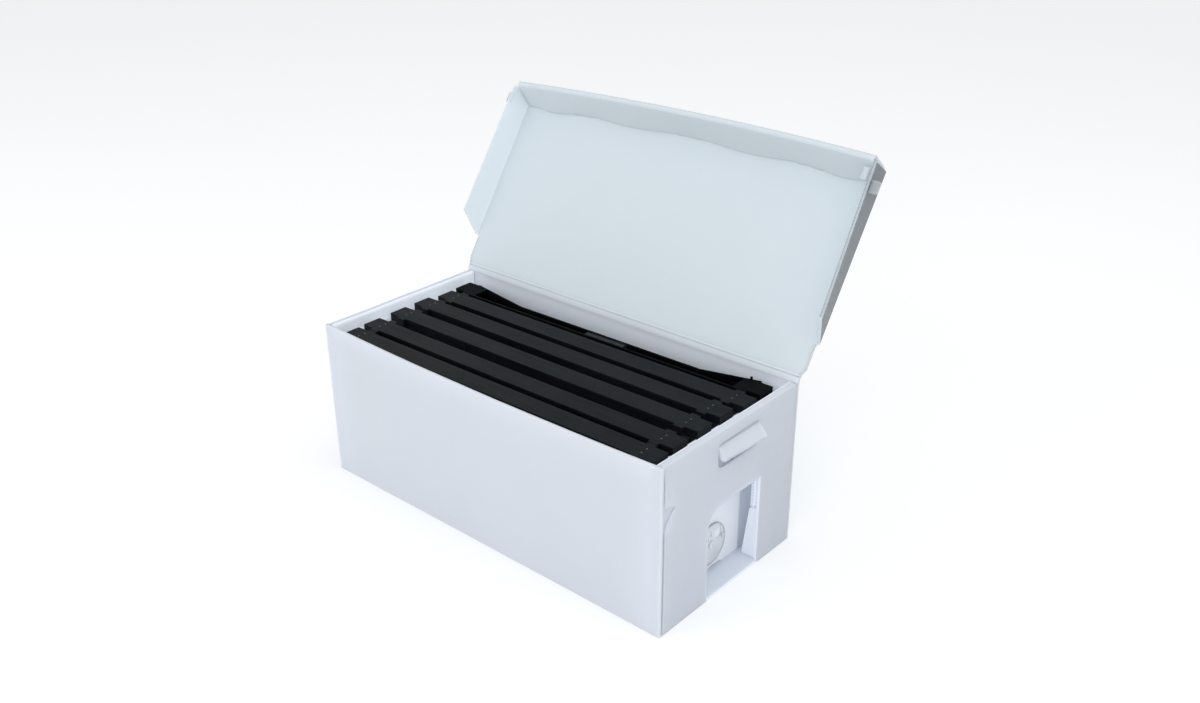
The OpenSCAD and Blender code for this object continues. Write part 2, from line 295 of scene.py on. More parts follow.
MAT = {
    "box_board": board_material("box_board_pp", (0.67, 0.71, 0.785), (0.635, 0.68, 0.76), 0.77),
    "lid_board": board_material("lid_board_pp", (0.62, 0.69, 0.74), (0.595, 0.66, 0.71), 0.7),
    "hinge_web": board_material("hinge_web_pp", (0.63, 0.69, 0.74), (0.61, 0.67, 0.72), 0.9, 0.0),
    "frame_plastic": black_material("frame_pp", (0.003, 0.0042, 0.0058), (0.011, 0.0135, 0.0165), 0.5, 0.11),
    "foundation_plastic": black_material(
        "foundation_pp", (0.006, 0.006, 0.007), (0.012, 0.012, 0.014), 0.55, 0.16, cells=True
    ),
    "feeder_plastic": black_material(
        "feeder_pp", (0.0014, 0.0018, 0.0022), (0.004, 0.005, 0.0055), 0.6, 0.04
    ),
    "feeder_brace": black_material(
        "feeder_brace_pp", (0.012, 0.015, 0.018), (0.022, 0.025, 0.029), 0.45, 0.2
    ),
    "disc_plastic": disc_material(),
    "rivet_plastic": rivet_material(),
    "pin_steel": steel_material(),
}


# ---------------------------------------------------------------- mesh tools


def slice_mesh(bm, axis, values):
    normal = Vector((0, 0, 0))
    normal[axis] = 1.0
    for value in values:
        geom = bm.verts[:] + bm.edges[:] + bm.faces[:]
        bmesh.ops.bisect_plane(bm, geom=geom, dist=1e-4, plane_co=normal * value, plane_no=normal)


def steps(lo, hi, step):
    """Multiples of step between lo and hi, a little clear of both."""
    clear = 0.3
    found = [k * step for k in range(math.floor(lo / step) + 1, math.ceil(hi / step))]
    return [value for value in found if lo + clear < value < hi - clear]


def slab(loops, thick, soft=None):
    """A flat solid over an outline and its holes, centred on n = 0. soft(mid) gives an edge's rounding."""
    bm = bmesh.new()
    low, high, flat = [], [], []
    for loop in loops:
        a = [bm.verts.new((u, v, -thick / 2)) for u, v in loop]
        b = [bm.verts.new((u, v, thick / 2)) for u, v in loop]
        for i in range(len(loop)):
            j = (i + 1) % len(loop)
            bm.faces.new((a[i], a[j], b[j], b[i]))
        low += a
        high += b
        flat.append([Vector((u, v, 0)) for u, v in loop])
    if soft is None:
        for tri in tessellate_polygon(flat):
            bm.faces.new([high[i] for i in tri])
            bm.faces.new([low[i] for i in reversed(tri)])
    else:
        bm.faces.new(high)
        bm.faces.new(low[::-1])
    bmesh.ops.recalc_face_normals(bm, faces=bm.faces[:])
    if soft is not None:
        groups = {}
        for e in bm.edges:
            mid = (e.verts[0].co + e.verts[1].co) / 2
            r = soft(mid)
            if r and abs(abs(mid.z) - thick / 2) < 1e-5:
                groups.setdefault(r, []).append(e)
        for r, edges in groups.items():
            bmesh.ops.bevel(
                bm, geom=edges, offset=r, segments=4, profile=0.5, affect="EDGES", clamp_overlap=True
            )
        bmesh.ops.triangulate(bm, faces=[f for f in bm.faces if len(f.verts) > 4])
    return bm


def twin_wall(loops, thick, flute, spacing, cuts=(), soft=None):
    """Board of two skins and ribs, flat in (u, v): flutes run along axis flute and show at its cut ends."""
    bm = slab(loops, thick, soft)
    across = 1 - flute
    lo = [min(v.co[k] for v in bm.verts) for k in (0, 1)]
    hi = [max(v.co[k] for v in bm.verts) for k in (0, 1)]
    slice_mesh(bm, across, steps(lo[across], hi[across], PITCH))
    slice_mesh(bm, flute, steps(lo[flute], hi[flute], spacing))
    for axis, values in cuts:
        slice_mesh(bm, axis, values)
    bm.normal_update()
    mouths = []
    for f in bm.faces:
        spread = max(v.co.z for v in f.verts) - min(v.co.z for v in f.verts)
        wide = max(v.co[across] for v in f.verts) - min(v.co[across] for v in f.verts)
        cut_end = abs(f.normal[flute]) > 0.8 and spread > 0.9 * thick
        if cut_end and wide > 0.6 * PITCH and len(f.verts) == 4:
            mouths.append(f)
    if mouths:
        bmesh.ops.inset_individual(bm, faces=mouths, thickness=SKIN, depth=-MOUTH, use_even_offset=True)
    note_board(bm, (across, flute, 2))
    return bm


def note_board(bm, axes):
    """Stores each point's place on its flat board, for the material: across the flutes, along them, deep."""
    layer = bm.verts.layers.float_vector.new("board")
    for v in bm.verts:
        v[layer] = Vector([v.co[axis] for axis in axes]) * MM


class Fold:
    """The middle line of a sheet folded along parallel creases. n is measured to the right of the line."""

    def __init__(self, points, radii):
        pts = [Vector(p) for p in points]
        self.parts, s, start = [], 0.0, pts[0]
        for i in range(1, len(pts) - 1):
            a, b = (pts[i] - pts[i - 1]).normalized(), (pts[i + 1] - pts[i]).normalized()
            turn = math.atan2(a.x * b.y - a.y * b.x, a.dot(b))
            reach = radii[i - 1] * math.tan(abs(turn) / 2)
            end = pts[i] - a * reach
            self.parts.append((s, s + (end - start).length, start, a, None, 0.0))
            s += (end - start).length
            centre = end + Vector((-a.y, a.x)) * math.copysign(radii[i - 1], turn)
            arc = radii[i - 1] * abs(turn)
            self.parts.append((s, s + arc, centre, a, end - centre, turn))
            s += arc
            start = pts[i] + b * reach
        way = (pts[-1] - pts[-2]).normalized()
        self.parts.append((s, s + (pts[-1] - start).length, start, way, None, 0.0))
        self.length = self.parts[-1][1]

    def creases(self):
        return [(p[0], p[1]) for p in self.parts if p[4] is not None]

    def cuts(self, n=6):
        return [a + (b - a) * k / n for a, b in self.creases() for k in range(n + 1)]

    def at(self, s, n):
        part = self.parts[0]
        for p in self.parts:
            if s >= p[0] - 1e-9:
                part = p
        s0, s1, origin, a, arm, turn = part
        if arm is None:
            return origin + a * (s - s0) + Vector((a.y, -a.x)) * n
        f = (s - s0) / (s1 - s0)
        c, d = math.cos(turn * f), math.sin(turn * f)
        way = Vector((a.x * c - a.y * d, a.x * d + a.y * c))
        arm = Vector((arm.x * c - arm.y * d, arm.x * d + arm.y * c))
        return origin + arm + Vector((way.y, -way.x)) * n


def merged(*parts):
    """One mesh of several."""
    out = bmesh.new()
    for part in parts:
        mesh = bpy.data.meshes.new("part")
        part.to_mesh(mesh)
        part.free()
        out.from_mesh(mesh)
        bpy.data.meshes.remove(mesh)
    return out


def shape(bm, place):
    for v in bm.verts:
        v.co = place(v.co.copy())


def ripple(co, amount, seed=0.0, size=90.0):
    """A slow waviness of a large board, as a distance."""
    return amount * noise.noise(co / size + Vector((seed, seed * 1.7, 0)))


def piece(name, bm, slot, body, replaces=(), angle=34.0, material=None, round_mm=0.0, flip=False):
    """A finished mesh with its faces outward, smoothed below angle, riding on its body."""
    if flip:
        bmesh.ops.reverse_faces(bm, faces=bm.faces[:])
    mesh = bpy.data.meshes.new(name)
    bmesh.ops.recalc_face_normals(bm, faces=bm.faces[:])
    if bm.calc_volume(signed=True) < 0:
        bmesh.ops.reverse_faces(bm, faces=bm.faces[:])
    bm.to_mesh(mesh)
    bm.free()
    mesh.transform(Matrix.Scale(MM, 4))
    mesh.polygons.foreach_set("use_smooth", [True] * len(mesh.polygons))
    mesh.set_sharp_from_angle(angle=math.radians(angle))
    obj = bpy.data.objects.new(name, mesh)
    bpy.context.scene.collection.objects.link(obj)
    mesh.materials.append(material or MAT[slot])
    if round_mm:
        bevel = obj.modifiers.new("round", "BEVEL")
        bevel.width = round_mm * MM
        bevel.segments = 2
        bevel.limit_method = "ANGLE"
        bevel.angle_limit = math.radians(40)
        bevel.harden_normals = True
    if body:
        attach(obj, body)
    if replaces:
        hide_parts(*replaces)
    return obj


def arc_points(centre, r, start, end, n):
    return [
        (centre[0] + r * math.cos(math.radians(start + (end - start) * k / n)),
         centre[1] + r * math.sin(math.radians(start + (end - start) * k / n)))
        for k in range(n + 1)
    ]


def circle(centre, r, n=32):
    return arc_points(centre, r, 0, 360 * (n - 1) / n, n - 1)


def smooth(t):
    t = min(1.0, max(0.0, t))
    return t * t * (3 - 2 * t)


# ---------------------------------------------------------------- the box

FRONT_BOW, BACK_BOW = 6.3, 0.6  # how far the long walls leave their plane at the middle
WALL_STEP, WALL_ROUND = 22.0, 1.5
WINDOW_L, WINDOW_R, WINDOW_TOP, ARCH_R, SILL = -41.0, 55.0, 114.5, 23.0, 1.0
# Painted glow, as emission strength: it stands in for light that comes through the thin board into the shaded
# insides
INSIDE_PAINTED_GLOW, BACK_PAINTED_GLOW, PORCH_PAINTED_GLOW, PORCH_FLOOR_PAINTED_GLOW = 0.28, 0.04, 0.19, 0.019


def front_bow(x, z):
    return FRONT_BOW * (1 - min(1.0, abs(x) / HALF_L) ** 2.2) * smooth(z / BOX_H) ** 0.9


def front_place(co):
    x, z, n = co.x, co.y, co.z
    y = -HALF_W + BOARD / 2 + n - front_bow(x, z) + ripple(Vector((x, z, 0)), 0.35, 3.1)
    return Vector((x, y, z))


def back_place(co):
    x, z, n = co.x, co.y, co.z
    bow = BACK_BOW * (1 - (x / HALF_L) ** 2) * math.sin(math.pi * min(1, z / BOX_H))
    return Vector((x, HALF_W - BOARD / 2 - n - bow + ripple(Vector((x, z, 0)), 0.25, 8.2), z))


def vertical_ends(mid):
    """Rounding for the two upright outer edges of a long wall."""
    return WALL_ROUND if abs(abs(mid.x) - HALF_L) < 0.01 and mid.z < 0 else 0


def mark(obj, name, amount):
    """Stores a number on every face: the strength of a painted glow that stands in for light coming through
    the board there, or how far painted shade greys it.
    """
    values = [amount(poly.center / MM, poly.normal) for poly in obj.data.polygons]
    obj.data.attributes.new(name, "FLOAT", "FACE").data.foreach_set("value", values)


def box_painted_glow(c, n):
    """The painted glow on a face at c with normal n, when it looks into the box or stands in the porch."""
    middle, reach = (WINDOW_L + WINDOW_R) / 2, (WINDOW_R - WINDOW_L) / 2 + 4
    in_porch = INNER_X - BOARD - 1 < c.x < HALF_L - 0.6 and c.z < WINDOW_TOP + BOARD
    if in_porch and abs(c.y - middle) < reach:
        return PORCH_FLOOR_PAINTED_GLOW if n.z > 0.5 else PORCH_PAINTED_GLOW
    into = -n.x * c.x / HALF_L - n.y * c.y / HALF_W
    return INSIDE_PAINTED_GLOW * min(1, max(0, 3 * into))


NICK_X, NICK_Z = 0.8, 0.4  # cut off the front wall's upper corners
bm = twin_wall(
    [[(-HALF_L, 0), (HALF_L, 0), (HALF_L, BOX_H - NICK_Z), (HALF_L - NICK_X, BOX_H),
      (-HALF_L + NICK_X, BOX_H), (-HALF_L, BOX_H - NICK_Z)]],
    BOARD, 0, WALL_STEP, soft=vertical_ends,
)
shape(bm, front_place)
piece("front_board", bm, "box_board", "box", ["front_wall"])

back_outline = [(-HALF_L, 0), (HALF_L, 0), (HALF_L, BOX_H), (-HALF_L, BOX_H)]
bm = twin_wall([back_outline], BOARD, 0, WALL_STEP, soft=vertical_ends)
shape(bm, back_place)
obj = piece("back_board", bm, "box_board", "box", ["back_wall"])
# painted glow on the back wall's inner face
mark(obj, "inside", lambda c, n: BACK_PAINTED_GLOW if n.y < -0.5 else 0.0)

# The floor, with a tongue that reaches out to the foot of the window
floor_end, tongue_end = HALF_L - BOARD, HALF_L - 0.35
bm = twin_wall(
    [[(-floor_end, -INNER_W), (floor_end, -INNER_W), (floor_end, WINDOW_L - 1), (tongue_end, WINDOW_L - 1),
      (tongue_end, WINDOW_R + 1), (floor_end, WINDOW_R + 1), (floor_end, INNER_W), (-floor_end, INNER_W)]],
    BOARD, 0, 40.0,
)
shape(bm, lambda co: Vector((co.x, co.y, co.z + BOARD / 2)))
# painted glow on the floor's faces that look into the box or stand in the porch
mark(piece("floor_board", bm, "box_board", "box", ["floor_panel"]), "inside", box_painted_glow)


# Each end is one blank: outer wall, rim band, return, frame rest and inner wall
WALL_MID, RIM_MID, REST_MID, INNER_MID = (
    HALF_L - BOARD / 2, RIM_X + BOARD / 2, REST_TOP - BOARD / 2, INNER_X - BOARD / 2
)
END_FOLD = Fold(
    [(WALL_MID, 0), (WALL_MID, BOX_H - BOARD / 2), (RIM_MID, BOX_H - BOARD / 2),
     (RIM_MID, REST_MID), (INNER_MID, REST_MID), (INNER_MID, BOARD)],
    [2.7, 1.9, 1.9, 2.1],
)
ARCH = arc_points((WINDOW_L + ARCH_R, WINDOW_TOP - ARCH_R), ARCH_R, 176, 92, 12)
WINDOW = [(WINDOW_L, SILL), (WINDOW_L, 90), *ARCH, (WINDOW_R, WINDOW_TOP), (WINDOW_R, SILL)]
SLOT_Y, SLOT_TOP, SLOT_L, SLOT_H = GRIP_PIVOT.y, GRIP_PIVOT.z + 2.4, 74.0, 27.5
NOTCH = [(-117.2, 129), (-99.6, 151), (-118.0, 159)]
HOLE_ANGLE, HOLE_RING = math.radians(-54), 15.5
BEE_Y = DISC_PIVOT.y + HOLE_RING * math.cos(HOLE_ANGLE)
BEE_Z = DISC_PIVOT.z + HOLE_RING * math.sin(HOLE_ANGLE)


def slot_loop():
    r, bottom = 6.0, SLOT_TOP - SLOT_H
    left, right = SLOT_Y - SLOT_L / 2, SLOT_Y + SLOT_L / 2
    return (
        [(left, SLOT_TOP)] + arc_points((left + r, bottom + r), r, 180, 270, 6)
        + arc_points((right - r, bottom + r), r, 270, 360, 6) + [(right, SLOT_TOP)]
    )


def inner_v(z):
    """Where height z of the inner wall lies along the folded blank."""
    return END_FOLD.length - (z - BOARD)


def end_place(far):
    side = -1 if far else 1

    def place(co):
        y, s, n = co.x, co.y, co.z
        p = END_FOLD.at(s, n)
        sag = 0.5 * smooth(1 - abs(s - 206) / 8) * ripple(Vector((y, 40, 0)), 1.0, 5.5 + side, 60)
        out = 0.8 * math.sin(math.pi * min(1, s / 200)) * (1 - (y / END_W) ** 2) if s < 200 else 0.0
        lift = 1.5 * smooth((-101 - y) / 17) * smooth(s / 12) * smooth((197 - s) / 14) if s < 200 else 0.0
        return Vector((side * (p.x + (-0.6 if far else -0.35) * out + lift), y, p.y + sag))

    return place


def end_blank(far):
    w, total = END_W, END_FOLD.length
    band_end = END_FOLD.creases()[0][1]
    outline = [
        (-w + 1.5, 0), (w - 0.2, 0), (w - 0.2, 200), (w, band_end), (w - 0.5, band_end + 12),
        (w - 0.6, total), (-w + 0.6, total), (-w + 0.5, band_end + 12), (-w, band_end), (-w + 0.7, 199),
        (-w + 1.1, 186), *reversed(NOTCH),
    ]
    if not far:  # the inner wall's lower edge stands off the floor for a stretch
        outline[6:6] = [(29, total), (25, total - 2.4), (6, total - 2.8), (2, total)]
    loops = [outline, slot_loop()]
    if not far:
        loops.append(WINDOW)
        loops.append(circle((DISC_PIVOT.y, inner_v(DISC_PIVOT.z)), 3.0, 24))
        loops.append(circle((BEE_Y, inner_v(BEE_Z)), 8.5, 32))
    bm = twin_wall(loops, BOARD, 1, 22.0, cuts=[(1, END_FOLD.cuts())])
    shape(bm, end_place(far))
    end = "far" if far else "entrance"
    nodes = [part + end for part in ("end_wall_", "rim_band_", "rim_return_", "frame_rest_", "inner_wall_")]
    obj = piece("end_board_" + end, bm, "box_board", "box", nodes, flip=far)
    # painted glow on the end blank's faces that look into the box or stand in the porch
    mark(obj, "inside", box_painted_glow)
    # painted shade on the entrance end's outer face
    if not far:
        mark(obj, "shade", end_painted_shade)


def end_painted_shade(c, n):
    """Painted shade on the entrance end's outer face: greyer towards its foot and its hinge side."""
    outer = n.x > 0.7 and c.x > HALF_L - 1.5
    return 0.27 + 0.05 * c.y / HALF_W - 0.1 * c.z / BOX_H if outer else 0.0


end_blank(False)
end_blank(True)


# Corner flaps behind each end wall
def tuck(far, back):
    side, way = (-1 if far else 1), (1 if back else -1)
    name = ("tuck_back_" if back else "tuck_front_") + ("far" if far else "entrance")
    lo, hi = box_mm(name)
    reach = INNER_W - (lo.y if back else -hi.y)
    low = reach - (4.5 if back else 0)  # cut back where the window's side flap folds in
    if back and not far:
        reach += 5.6
    split, r = 73.0, 5.0
    loop = [(0, lo.z), (low - r, lo.z)] + arc_points((low - r, lo.z + r), r, -80, 0, 4)
    loop += [(low, split), (reach, split + 2)] + arc_points((reach - r, hi.z - r), r, 0, 90, 5) + [(0, hi.z)]
    bm = twin_wall([loop], BOARD, 0, 16.0)

    def place(co):
        lean = 0.5 * smooth(co.x / reach)
        return Vector((side * (TUCK_X + BOARD / 2 + co.z - lean), way * (INNER_W - co.x), co.y))

    shape(bm, place)
    if not back:  # the tab that fills the notch in the end wall, set back from its face
        y0, y1, z0, z1 = -117.8, -95, 124, 163
        tab = twin_wall([[(y0, z0), (y1, z0), (y1, z1), (y0, z1)]], 1.5, 0, 16.0)
        shape(tab, lambda co: Vector((side * (HALF_L - 2.7 + co.z), co.x, co.y)))
        bm = merged(bm, tab)
    # painted glow on the flap's faces that look into the box or stand in the porch
    mark(piece(name + "_board", bm, "box_board", "box", [name]), "inside", box_painted_glow)


for far in (False, True):
    for back in (False, True):
        tuck(far, back)


# Side flaps of the window, folded in: a crease arc, then the leaf
def porch_flap(back):
    name = "porch_flap_back" if back else "porch_flap_front"
    lo, hi = box_mm(name)
    way = 1 if back else -1
    edge = lo.y if back else hi.y
    corner = edge + way * BOARD / 2
    fold = Fold([(WALL_MID, edge + way * 6), (WALL_MID, corner), (lo.x, corner)], [1.4])
    start, tip, tall = fold.creases()[0][0], fold.length, hi.z - lo.z
    loop = [(start, 0), (tip - 1, 0.6), (tip, 3), (tip - 7.5, tall - 3), (tip - 10, tall), (start, tall)]
    bm = twin_wall([loop], BOARD * 0.86, 1, 10.0, cuts=[(0, fold.cuts(4))])

    def place(co):
        p = fold.at(co.x, co.z)
        return Vector((p.x, p.y, lo.z + co.y))

    shape(bm, place)
    # painted glow on the flap's faces that look into the box or stand in the porch
    mark(piece(name + "_board", bm, "box_board", "box", [name]), "inside", box_painted_glow)


porch_flap(False)
porch_flap(True)


# Grip flaps, bent out of the hand slots on their creases
def grip(far):
    side = -1 if far else 1
    node = "grip_flap_far" if far else "grip_flap_entrance"
    tilt, leaf, half, r = math.radians(29), 17.2, SLOT_L / 2 - 0.8, 5.0
    x, z = GRIP_PIVOT.x, GRIP_PIVOT.z
    tip = (x + leaf * math.sin(tilt), z - leaf * math.cos(tilt))
    fold = Fold([(x + 0.12, SLOT_TOP + 1.6), (x + 0.12, z), tip], [1.2])
    end = fold.length
    loop = [(-half, 0), (half, 0), *arc_points((half - r, end - r), r, 0, 90, 6),
            *arc_points((r - half, end - r), r, 90, 180, 6)]
    bm = twin_wall([loop], BOARD, 1, 5.0, cuts=[(1, fold.cuts(4))])

    def place(co):
        crush = 1 - 0.2 * smooth(1 - abs(co.y - fold.creases()[0][0]) / 2.5)
        grow = smooth(co.y / end)
        twist = (0.6 + 3.0 * co.x / half) * grow
        p = fold.at(co.y, co.z * crush)
        return Vector((side * (p.x + twist), SLOT_Y + co.x + 0.8 * grow, p.y + 0.4 * twist))

    shape(bm, place)
    obj = piece("grip_" + ("far" if far else "entrance"), bm, "box_board", None, [node], flip=far)
    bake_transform(obj)


grip(False)
grip(True)


# ---------------------------------------------------------------- the entrance disc


def lathe(profile, n=48):
    """Solid of revolution about the local n axis from (radius, height) points, closed at both ends."""
    bm = bmesh.new()
    turns = [2 * math.pi * k / n for k in range(n)]
    rings = [[bm.verts.new((r * math.cos(t), r * math.sin(t), h)) for t in turns] for r, h in profile]
    for a, b in zip(rings, rings[1:]):
        for k in range(n):
            j = (k + 1) % n
            bm.faces.new((a[k], a[j], b[j], b[k]))
    bm.faces.new(rings[0][::-1])
    bm.faces.new(rings[-1])
    return bm


DISC_TURN = math.radians(36)


def disc_place(co):
    c, s = math.cos(DISC_TURN), math.sin(DISC_TURN)
    x0 = box_mm("entrance_disc")[0].x
    return Vector((x0 + co.z, DISC_PIVOT.y + co.x * c - co.y * s, DISC_PIVOT.z + co.x * s + co.y * c))


DISC_R, DISC_T = 26.5, 1.6
SLIT_R, SLIT_HALF, SLIT_STEP = 2.15, 5.0, 6.7
PIN_HOLES_R = 4.8
loops = [circle((0, 0), DISC_R - 0.3, 96), circle((0, 0), 3.2, 24), circle((HOLE_RING, 0), 7.0, 40)]
for k in (-1, 0, 1):
    x, low, high = k * SLIT_STEP, HOLE_RING - SLIT_HALF, HOLE_RING + SLIT_HALF
    loops.append([(x - SLIT_R, low), *arc_points((x, low), SLIT_R, 180, 360, 8)[1:-1], (x + SLIT_R, low),
                  *arc_points((x, high), SLIT_R, 0, 180, 8)])
for k in range(7):
    a, away = math.radians(60 * k), PIN_HOLES_R if k else 0.0
    loops.append(circle((-HOLE_RING + away * math.cos(a), away * math.sin(a)), 1.3, 16))
plate = slab(loops, DISC_T)
shape(plate, lambda co: co + Vector((0, 0, DISC_T / 2)))
rim = lathe([(DISC_R - 1.7, DISC_T - 0.2), (DISC_R - 1.5, DISC_T + 0.5), (DISC_R - 0.9, DISC_T + 0.75),
             (DISC_R - 0.3, DISC_T + 0.5), (DISC_R, DISC_T - 0.2), (DISC_R, 0.3), (DISC_R - 0.3, 0),
             (DISC_R - 0.6, 0)], 96)
PIP_ANGLE, PIP_RING = math.radians(-28), 21.4
pip = lathe([(3.0, 0.4), (3.0, DISC_T + 0.8), (2.7, DISC_T + 1.3), (2.0, DISC_T + 1.55), (1.0, DISC_T + 1.6),
             (0.3, DISC_T + 1.6)], 28)
shape(pip, lambda co: co + Vector((math.cos(PIP_ANGLE) * PIP_RING, math.sin(PIP_ANGLE) * PIP_RING, 0)))
for f in [f for f in rim.faces if len(f.verts) > 4]:
    rim.faces.remove(f)
bm = merged(plate, rim, pip)
shape(bm, disc_place)
piece("disc", bm, "disc_plastic", "disc", ["entrance_disc"], angle=40)

lo, hi = box_mm("disc_rivet")
shank = hi.x - lo.x
bm = lathe([(4.4, 0), (4.6, 0.3), (4.6, 1.1), (3.0, 1.2), (3.0, shank - 1.5), (4.7, shank - 1.4),
            (4.75, shank - 0.9), (4.1, shank - 0.35), (2.6, shank), (1.5, shank), (1.4, shank - 0.7),
            (0.2, shank - 0.7)], 40)
shape(bm, lambda co: Vector((lo.x + co.z, DISC_PIVOT.y + co.x, DISC_PIVOT.z + co.y)))
piece("rivet", bm, "rivet_plastic", "box", ["disc_rivet"])


# ---------------------------------------------------------------- the lid

LID_UNDER = BOX_H + 0.3
SWING = Matrix.Translation(HINGE) @ Matrix.Rotation(-LID_ANGLE, 4, "X") @ Matrix.Translation(-HINGE)
LID_FRONT = -HALF_W - 9.5
LID_BACK = HINGE.y - 2.4
LID_X = HALF_L + 4.6 + BOARD / 2
RETURN_Y = -111.6
LID_BOW = 6.6
SKIRT = 31.5
SPLAY = {"entrance": math.radians(7), "far": math.radians(18)}
TWIST = {"entrance": (-6.0, 7.0), "far": (-5.0, 5.0)}  # extra splay at an ear's front and hinge ends, degrees
LID_EDGE = 4.6  # from the lid's front edge to the face of its apron
# Painted shade on the near ear's outer face and the corner tabs by it; painted glow on the far ear's inner
# face, the apron's under faces and the hinge web's inner face
EAR_PAINTED_SHADE, EAR_PAINTED_GLOW, TAB_PAINTED_SHADE, APRON_PAINTED_GLOW, WEB_PAINTED_GLOW = 0.95, 0.17, 0.6, 0.06, 0.12
APRON_SPLAY = math.radians(7)


def lid_bow(x, y):
    return LID_BOW * (1 - min(1.0, abs(x) / LID_X) ** 2) * smooth((40 - y) / 165)


def lid_place(x, y, z):
    """A point of the closed lid, bowed at its front, then swung open."""
    y -= lid_bow(x, y)
    z += ripple(Vector((x, y, 0)), 0.5, 1.4, 110)
    return SWING @ Vector((x, y, z))


mid = LID_UNDER + BOARD / 2
ear_len = SKIRT + 1.2


def ear_tip(end, way):
    return (way * (LID_X + ear_len * math.sin(SPLAY[end])), mid - ear_len * math.cos(SPLAY[end]))


LID_FOLD = Fold([ear_tip("far", -1), (-LID_X, mid), (LID_X, mid), ear_tip("entrance", 1)], [5.0, 3.2])


def twist_ear(p, s, y):
    """Lean an ear's part of the lid's cross-section further out or in along its length."""
    (f0, f1), (e0, e1) = LID_FOLD.creases()
    along = min(1.0, max(0.0, (y - LID_FRONT) / (HINGE.y - 45 - LID_FRONT)))
    ears = ((1, (s - e0) / (e1 - e0), TWIST["entrance"]), (-1, (f1 - s) / (f1 - f0), TWIST["far"]))
    for way, grow, (a, b) in ears:
        if grow > 0:
            turn = way * math.radians(a + (b - a) * along) * smooth(grow)
            c, d = math.cos(turn), math.sin(turn)
            q = p - Vector((way * LID_X, mid))
            p = Vector((way * LID_X + q.x * c - q.y * d, mid + q.x * d + q.y * c))
    return p


def lid_outline():
    (f0, f1), (e0, e1) = LID_FOLD.creases()
    end, front, back = LID_FOLD.length, LID_FRONT + LID_EDGE, LID_BACK
    ear_front = LID_FRONT + BOARD + 0.4
    side, low = HINGE.y - 45, HINGE.y - 66
    cut_x, cut_y = 4.4, 11
    return [
        (f1, front), (e0, front), (e1, ear_front), (end, ear_front), (end, low - 2), (end - 3, low),
        (e1, side), (e0, side + 2), (e0, back - cut_y), (e0 - cut_x, back), (f1 + cut_x, back),
        (f1, back - cut_y), (f1, side + 2), (f0, side), (3, low), (0, low - 2), (0, ear_front),
        (f0, ear_front),
    ]


bm = twin_wall([lid_outline()], BOARD, 0, 20.0, cuts=[(0, LID_FOLD.cuts())])
for v in bm.verts:
    p = twist_ear(LID_FOLD.at(v.co.x, -v.co.z), v.co.x, v.co.y)
    v.co = lid_place(p.x, v.co.y, p.y)
obj = piece("lid_board_sheet", bm, "lid_board", "lid", ["lid_panel", "lid_ear_entrance", "lid_ear_far"])
# painted shade: the near ear's outer face greyed almost to a mid grey
mark(obj, "shade", lambda c, n: EAR_PAINTED_SHADE if c.x > HALF_L and n.x > 0.6 else 0.0)
# painted glow on the far ear's inner face
mark(obj, "inside", lambda c, n: EAR_PAINTED_GLOW if c.x < -HALF_L + 2 and n.x > 0.6 else 0.0)

# Front apron: outer leaf, folded band and the leaf that returns to the lid
out = LID_FRONT + BOARD / 2
low_z = LID_UNDER - SKIRT + BOARD / 2
foot = out - (mid - low_z) * math.tan(APRON_SPLAY)
BAND = 4.4
APRON_FOLD = Fold(
    [(LID_FRONT + LID_EDGE, mid), (out, mid), (foot, low_z), (foot + BAND, low_z),
     (RETURN_Y - BOARD / 2, LID_UNDER - 0.1)],
    [2.3, 1.9, 1.9],
)
TABS, TAB_HALF, TAB_REACH, TAB_LEAN = (-169, 5, 180), 17, 3.2, 4.2


def tab_sag(x):
    """How far the return leaf leans in between its tabs, from 0 at a tab to 1 halfway."""
    stops = (-HALF_L, *TABS, HALF_L)
    for a, b in zip(stops, stops[1:]):
        if a <= x <= b:
            return math.sin(math.pi * (x - a) / (b - a)) ** 2
    return 0.0


(band_start, _), (band_end, leaf_start) = APRON_FOLD.creases()[1:]
end = APRON_FOLD.length
left, right = -HALF_L - 7.0, HALF_L + 4.2
outline = [(left, 0), (right, 0), (right, band_end), (right - 0.6, leaf_start + 1), (right - 1.5, end - 1)]
for x in reversed(TABS):
    x0, x1, reach = x - TAB_HALF, x + TAB_HALF, end + TAB_REACH
    outline += [(x1, end - 1), (x1, reach), (x0, reach), (x0, end - 1)]
outline += [(left + 4.2, end - 1), (left + 1, leaf_start + 1), (left - 1, band_end), (left - 1, band_start)]
bm = twin_wall([outline], BOARD, 0, 14.0, cuts=[(1, APRON_FOLD.cuts())])
rise = end - leaf_start
for v in bm.verts:
    x, s, n = v.co
    p = APRON_FOLD.at(s, n)
    lean = TAB_LEAN * tab_sag(x) * smooth((s - leaf_start) / rise) if s > leaf_start else 0.0
    v.co = lid_place(x, p.x + lean, p.y)
obj = piece("lid_apron", bm, "lid_board", "lid", ["apron_outer", "apron_band", "apron_return"])
# painted glow on the apron's faces that look down or forward
mark(obj, "inside", lambda c, n: APRON_PAINTED_GLOW if n.z < -0.3 or n.y < -0.6 else 0.0)

